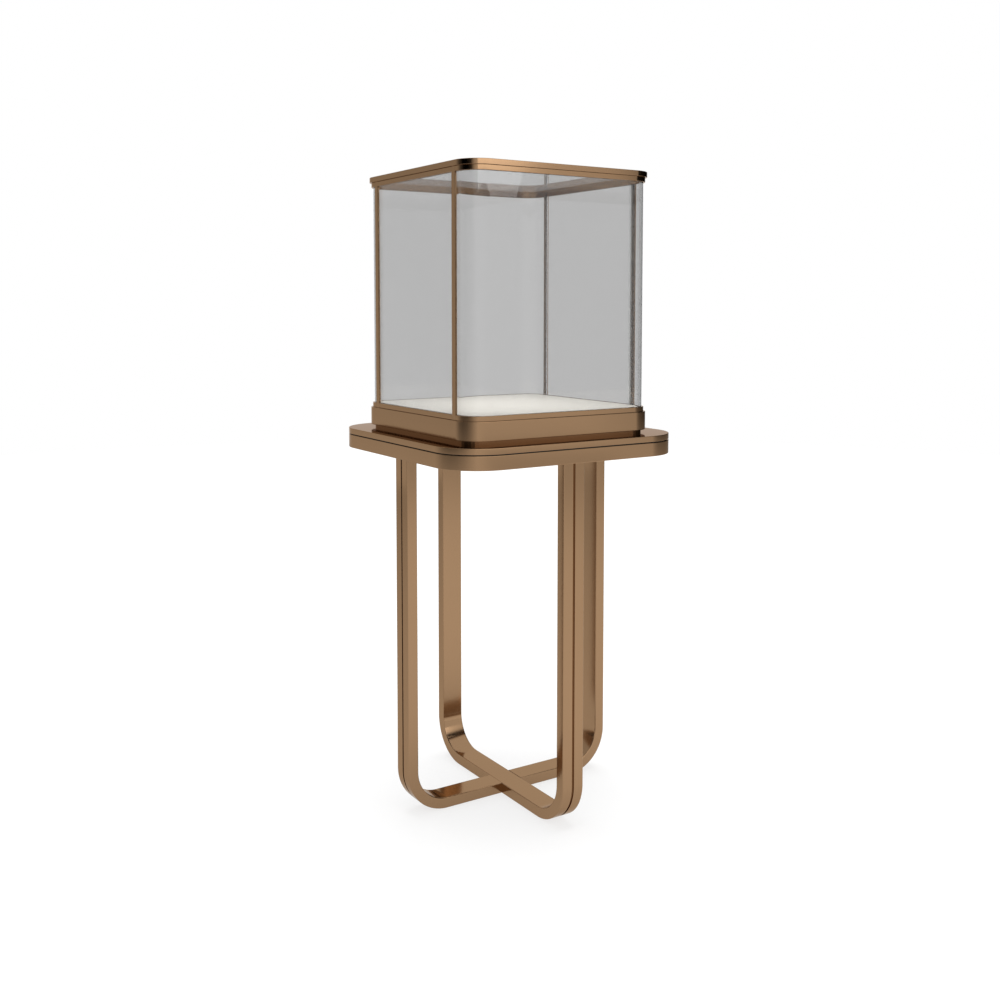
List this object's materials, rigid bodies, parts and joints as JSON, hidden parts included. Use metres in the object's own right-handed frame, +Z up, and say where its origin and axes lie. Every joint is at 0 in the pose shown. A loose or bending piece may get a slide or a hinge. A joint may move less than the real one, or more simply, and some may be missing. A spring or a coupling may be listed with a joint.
{
  "type": "pedestal display case",
  "caption": "Glazed display case with bent corner panes and a side door, on a rounded square table carried by crossed U-shaped metal frames.",
  "frame": {"origin": "on the floor under the middle of the table", "axes": "+Z up, -Y to the front, with the door on the +X side"},
  "size_m": [0.55, 0.55, 1.335],
  "materials": {
    "bronze_satin": "bronze-coloured coating, satin",
    "bronze_mirror": "bronze-coloured coating, mirror-polished",
    "tinted_glass": "clear with a light grey tint",
    "fibre_board": "raw fibreboard",
    "black_board": "black lacquer, matt",
    "white_board": "white lacquer, matt",
    "rubber": "matt",
    "zinc_steel": "zinc plated",
    "clear_plastic": "clear, smooth"
  },
  "bodies": {
    "stand": {"bottom_rail_front": "bronze_satin", "bottom_rail_left": "bronze_satin", "bottom_rail_rear": "bronze_satin", "box_base_board": "fibre_board", "box_shell": "bronze_satin", "cap_frame": "bronze_satin", "case_screw_1": "zinc_steel", "case_screw_2": "zinc_steel", "case_screw_3": "zinc_steel", "case_screw_4": "zinc_steel", "deck_board": "white_board", "door_pin_bottom": "zinc_steel", "door_pin_top": "zinc_steel", "door_seal": "clear_plastic", "door_washer": "zinc_steel", "floor_pad_front": "rubber", "floor_pad_left": "rubber", "floor_pad_rear": "rubber", "floor_pad_right": "rubber", "frame_front_rear": "bronze_satin", "frame_left": "bronze_satin", "frame_right": "bronze_satin", "glass_front": "tinted_glass", "glass_left": "tinted_glass", "glass_rear": "tinted_glass", "glass_top": "tinted_glass", "leg_plate_front": "zinc_steel", "leg_plate_left": "zinc_steel", "leg_plate_rear": "zinc_steel", "leg_plate_right": "zinc_steel", "leg_screw_front_1": "zinc_steel", "leg_screw_front_2": "zinc_steel", "leg_screw_left_1": "zinc_steel", "leg_screw_left_2": "zinc_steel", "leg_screw_rear_1": "zinc_steel", "leg_screw_rear_2": "zinc_steel", "leg_screw_right_1": "zinc_steel", "leg_screw_right_2": "zinc_steel", "lock_body": "bronze_satin", "lock_nut": "zinc_steel", "plinth": "black_board", "plinth_band": "bronze_satin", "post_front_left": "bronze_satin", "post_front_right": "bronze_satin", "post_rear_left": "bronze_satin", "post_rear_right": "bronze_satin", "table_apron": "bronze_satin", "table_core": "black_board", "table_plate_board": "fibre_board", "table_plate_skin": "bronze_mirror", "table_spacer": "black_board", "top_rail_front": "bronze_satin", "top_rail_left": "bronze_satin", "top_rail_rear": "bronze_satin"},
    "door": {"door_glass": "tinted_glass", "door_bottom_rail": "bronze_satin", "door_top_rail": "bronze_satin"},
    "lock_core": {"lock_plug": "zinc_steel", "lock_cam": "zinc_steel", "lock_cam_screw": "zinc_steel"}
  },
  "joints": [
    {"name": "door_swing", "type": "hinge", "parent": "stand", "child": "door", "pos_m": [0.2195, 0.1485, 1.0815], "axis": [0, 0, 1], "range_deg": [0, 100]},
    {"name": "lock_turn", "type": "hinge", "parent": "stand", "child": "lock_core", "pos_m": [0.2275, -0.12, 0.8245], "axis": [1, 0, 0], "range_deg": [0, 90]}
  ]
}
